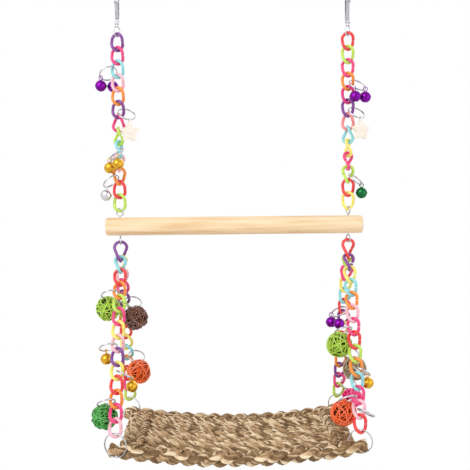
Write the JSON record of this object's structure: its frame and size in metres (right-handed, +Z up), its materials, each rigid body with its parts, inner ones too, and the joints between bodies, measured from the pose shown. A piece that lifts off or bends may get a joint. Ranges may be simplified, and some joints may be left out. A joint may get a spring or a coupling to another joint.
{
  "type": "hanging bird swing",
  "caption": "Hanging bird swing: a wooden perch and a seagrass mat below it on twisted plastic chains, with clip hooks, split rings, bells, vine balls and star charms.",
  "frame": {"origin": "axis of the rail that both hooks clip to, midway between the hooks", "axes": "+X along the rail and the perch, +Y away from the viewer, +Z up"},
  "size_m": [0.3112, 0.1656, 0.5098],
  "materials": {
    "steel": "bright zinc-plated wire and strip, slightly scratched",
    "links": "smooth moulded plastic, one of several bright colours to a link",
    "dowel": "bare sanded pale softwood with fine straight grain",
    "seagrass": "dry twisted seagrass rope, rough and fibrous",
    "purple_metal": "metallic purple",
    "gold_metal": "bright gold-coloured plating",
    "silver_metal": "bright silver plating",
    "green_metal": "metallic dark green",
    "lime_vine": "dyed woven vine, lime green",
    "green_vine": "dyed woven vine, green",
    "brown_vine": "dyed woven vine, brown",
    "orange_vine": "dyed woven vine, orange",
    "natural_vine": "bare woven vine, grey brown",
    "pink_vine": "dyed woven vine, pink",
    "red_vine": "dyed woven vine, orange red",
    "ivory": "ivory moulded plastic"
  },
  "bodies": {
    "hooks": {"left_hook": "steel", "right_hook": "steel"},
    "left_gate": {"left_gate": "steel"},
    "right_gate": {"right_gate": "steel"},
    "left_swivel": {"left_swivel_eye": "steel"},
    "right_swivel": {"right_swivel_eye": "steel"},
    "top_links": {"top_links": "links"},
    "left_upper_chain": {"left_upper_links": "links", "left_upper_rings": "steel"},
    "right_upper_chain": {"right_upper_links": "links", "right_upper_rings": "steel"},
    "perch_links": {"perch_links": "links"},
    "perch": {"perch": "dowel", "upper_screw_eyes": "steel", "lower_screw_eyes": "steel"},
    "fork_links": {"fork_links": "links"},
    "left_lower_chains": {"left_front_links": "links", "left_back_links": "links", "left_lower_rings": "steel"},
    "right_lower_chains": {"right_front_links": "links", "right_back_links": "links", "right_lower_rings": "steel"},
    "mat": {"mat_panel": "seagrass", "front_braid": "seagrass", "back_braid": "seagrass", "side_ropes": "seagrass", "corner_rings": "steel"},
    "purple_bell_a": {"purple_bell_a": "purple_metal"},
    "purple_bell_b": {"purple_bell_b": "purple_metal"},
    "gold_bell_a": {"gold_bell_a": "gold_metal"},
    "gold_bell_b": {"gold_bell_b": "gold_metal"},
    "silver_bell": {"silver_bell": "silver_metal"},
    "purple_bell_c": {"purple_bell_c": "purple_metal"},
    "purple_bell_d": {"purple_bell_d": "purple_metal"},
    "green_bell": {"green_bell": "green_metal"},
    "gold_bell_c": {"gold_bell_c": "gold_metal"},
    "gold_bell_d": {"gold_bell_d": "gold_metal"},
    "purple_bell_e": {"purple_bell_e": "purple_metal"},
    "purple_bell_f": {"purple_bell_f": "purple_metal"},
    "gold_bell_e": {"gold_bell_e": "gold_metal"},
    "lime_ball_left": {"lime_ball_left": "lime_vine"},
    "brown_ball": {"brown_ball": "brown_vine"},
    "orange_ball": {"orange_ball": "orange_vine"},
    "green_ball": {"green_ball": "green_vine"},
    "lime_ball_right": {"lime_ball_right": "lime_vine"},
    "natural_ball": {"natural_ball": "natural_vine"},
    "pink_ball": {"pink_ball": "pink_vine"},
    "red_ball": {"red_ball": "red_vine"},
    "left_star": {"left_star": "ivory"},
    "right_star": {"right_star": "ivory"}
  },
  "joints": [
    {"name": "left_gate_open", "type": "hinge", "parent": "hooks", "child": "left_gate", "pos_m": [-0.127, 0.00245, -0.024], "axis": [-1, 0, 0], "range_deg": [0, 14], "stiffness_Nm_per_rad": 0.02},
    {"name": "left_swivel_turn", "type": "hinge", "parent": "hooks", "child": "left_swivel", "pos_m": [-0.127, 0, -0.03], "axis": [0, 0, 1], "range_deg": [-10, 10]},
    {"name": "right_gate_open", "type": "hinge", "parent": "hooks", "child": "right_gate", "pos_m": [0.127, 0.00245, -0.024], "axis": [-1, 0, 0], "range_deg": [0, 14], "stiffness_Nm_per_rad": 0.02},
    {"name": "right_swivel_turn", "type": "hinge", "parent": "hooks", "child": "right_swivel", "pos_m": [0.127, 0, -0.03], "axis": [0, 0, 1], "range_deg": [-10, 10]},
    {"name": "swing", "type": "hinge", "parent": "hooks", "child": "top_links", "pos_m": [0, 0, -0.0424], "axis": [1, 0, 0], "range_deg": [-20, 20]},
    {"name": "sway", "type": "hinge", "parent": "top_links", "child": "left_upper_chain", "pos_m": [-0.127, 0, -0.05708], "axis": [0, 1, 0], "range_deg": [-20, 20]},
    {"name": "right_sway", "type": "hinge", "parent": "top_links", "child": "right_upper_chain", "pos_m": [0.127, 0, -0.05708], "axis": [0, 1, 0], "range_deg": [-20, 20]},
    {"name": "perch_level", "type": "hinge", "parent": "left_upper_chain", "child": "perch_links", "pos_m": [-0.127, 0, -0.21852], "axis": [0, 1, 0], "range_deg": [-20, 20]},
    {"name": "perch_rock", "type": "hinge", "parent": "perch_links", "child": "perch", "pos_m": [0, 0, -0.2332], "axis": [1, 0, 0], "range_deg": [-14, 14]},
    {"name": "mat_swing", "type": "hinge", "parent": "perch", "child": "fork_links", "pos_m": [0, 0, -0.2711], "axis": [1, 0, 0], "range_deg": [-16, 16]},
    {"name": "mat_sway", "type": "hinge", "parent": "fork_links", "child": "left_lower_chains", "pos_m": [-0.127, 0, -0.28739], "axis": [0, 1, 0], "range_deg": [-13, 13]},
    {"name": "right_mat_sway", "type": "hinge", "parent": "fork_links", "child": "right_lower_chains", "pos_m": [0.127, 0, -0.28739], "axis": [0, 1, 0], "range_deg": [-13, 13]},
    {"name": "mat_level", "type": "hinge", "parent": "left_lower_chains", "child": "mat", "pos_m": [-0.127, 0, -0.46197], "axis": [0, 1, 0], "range_deg": [-13, 13]},
    {"name": "purple_bell_a_dangle", "type": "hinge", "parent": "left_upper_chain", "child": "purple_bell_a", "pos_m": [-0.14598, 0.00232, -0.08771], "axis": [0.3749, 0.9271, 0], "range_deg": [-5, 25]},
    {"name": "purple_bell_b_dangle", "type": "hinge", "parent": "left_upper_chain", "child": "purple_bell_b", "pos_m": [-0.13364, 0.00917, -0.08771], "axis": [0.9849, -0.1734, 0], "range_deg": [0, 25]},
    {"name": "gold_bell_a_dangle", "type": "hinge", "parent": "left_upper_chain", "child": "gold_bell_a", "pos_m": [-0.12605, -0.01843, -0.17461], "axis": [-0.997, -0.078, 0], "range_deg": [-10, 25]},
    {"name": "gold_bell_b_dangle", "type": "hinge", "parent": "left_upper_chain", "child": "gold_bell_b", "pos_m": [-0.13609, -0.00925, -0.17838], "axis": [-0.1949, 0.9808, 0], "range_deg": [-2.5, 25]},
    {"name": "silver_bell_dangle", "type": "hinge", "parent": "left_upper_chain", "child": "silver_bell", "pos_m": [-0.142, 0.00031, -0.20824], "axis": [0.515, 0.8572, 0], "range_deg": [-5, 25]},
    {"name": "purple_bell_c_dangle", "type": "hinge", "parent": "right_upper_chain", "child": "purple_bell_c", "pos_m": [0.14598, -0.00232, -0.10239], "axis": [-0.3749, -0.9271, 0], "range_deg": [-5, 25]},
    {"name": "purple_bell_d_dangle", "type": "hinge", "parent": "right_upper_chain", "child": "purple_bell_d", "pos_m": [0.13364, -0.00917, -0.10239], "axis": [-0.9849, 0.1734, 0], "range_deg": [0, 25]},
    {"name": "green_bell_dangle", "type": "hinge", "parent": "right_upper_chain", "child": "green_bell", "pos_m": [0.142, -0.00031, -0.20824], "axis": [-0.515, -0.8572, 0], "range_deg": [-10, 25]},
    {"name": "gold_bell_c_dangle", "type": "hinge", "parent": "left_lower_chains", "child": "gold_bell_c", "pos_m": [-0.14086, -0.0288, -0.38537], "axis": [0.9205, 0.3907, 0], "range_deg": [-10, 25]},
    {"name": "gold_bell_d_dangle", "type": "hinge", "parent": "left_lower_chains", "child": "gold_bell_d", "pos_m": [-0.11271, -0.03972, -0.41318], "axis": [0.515, -0.8572, 0], "range_deg": [-10, 25]},
    {"name": "purple_bell_e_dangle", "type": "hinge", "parent": "right_lower_chains", "child": "purple_bell_e", "pos_m": [0.1186, 0.01297, -0.3572], "axis": [-0.9593, 0.2825, 0], "range_deg": [-2.5, 25]},
    {"name": "purple_bell_f_dangle", "type": "hinge", "parent": "right_lower_chains", "child": "purple_bell_f", "pos_m": [0.11133, 0.02507, -0.3572], "axis": [0.2009, 0.9796, 0], "range_deg": [-2.5, 25]},
    {"name": "gold_bell_e_dangle", "type": "hinge", "parent": "right_lower_chains", "child": "gold_bell_e", "pos_m": [0.14129, -0.03972, -0.41318], "axis": [0.515, -0.8572, 0], "range_deg": [-10, 25]},
    {"name": "lime_ball_left_dangle", "type": "hinge", "parent": "left_lower_chains", "child": "lime_ball_left", "pos_m": [-0.14086, -0.00675, -0.33096], "axis": [0.9205, 0.3907, 0], "range_deg": [-7.5, 25]},
    {"name": "brown_ball_dangle", "type": "hinge", "parent": "left_lower_chains", "child": "brown_ball", "pos_m": [-0.11314, 0.01226, -0.34456], "axis": [-0.9205, -0.3907, 0], "range_deg": [-7.5, 25]},
    {"name": "orange_ball_dangle", "type": "hinge", "parent": "left_lower_chains", "child": "orange_ball", "pos_m": [-0.11314, 0.03983, -0.41257], "axis": [-0.9205, -0.3907, 0], "range_deg": [-7.5, 25]},
    {"name": "green_ball_dangle", "type": "hinge", "parent": "left_lower_chains", "child": "green_ball", "pos_m": [-0.14086, -0.05085, -0.43977], "axis": [0.9205, 0.3907, 0], "range_deg": [-7.5, 25]},
    {"name": "lime_ball_right_dangle", "type": "hinge", "parent": "right_lower_chains", "child": "lime_ball_right", "pos_m": [0.11314, -0.02329, -0.37176], "axis": [0.9205, 0.3907, 0], "range_deg": [-7.5, 25]},
    {"name": "natural_ball_dangle", "type": "hinge", "parent": "right_lower_chains", "child": "natural_ball", "pos_m": [0.14086, 0.03983, -0.41257], "axis": [-0.9205, -0.3907, 0], "range_deg": [-7.5, 25]},
    {"name": "pink_ball_dangle", "type": "hinge", "parent": "right_lower_chains", "child": "pink_ball", "pos_m": [0.14086, 0.05637, -0.45337], "axis": [-0.9205, -0.3907, 0], "range_deg": [-10, 25]},
    {"name": "red_ball_dangle", "type": "hinge", "parent": "right_lower_chains", "child": "red_ball", "pos_m": [0.11314, -0.05085, -0.43977], "axis": [0.9205, 0.3907, 0], "range_deg": [0, 25]},
    {"name": "left_star_dangle", "type": "hinge", "parent": "left_upper_chain", "child": "left_star", "pos_m": [-0.11417, -0.00777, -0.13485], "axis": [-0.8746, -0.4848, 0], "range_deg": [-7.5, 25]},
    {"name": "right_star_dangle", "type": "hinge", "parent": "right_upper_chain", "child": "right_star", "pos_m": [0.13983, -0.00777, -0.13485], "axis": [-0.8746, -0.4848, 0], "range_deg": [-7.5, 25]}
  ],
  "couplings": [
    {"joint": "right_sway", "follows": "sway", "ratio": 1},
    {"joint": "perch_level", "follows": "sway", "ratio": -1},
    {"joint": "right_mat_sway", "follows": "mat_sway", "ratio": 1},
    {"joint": "mat_level", "follows": "mat_sway", "ratio": -1}
  ]
}
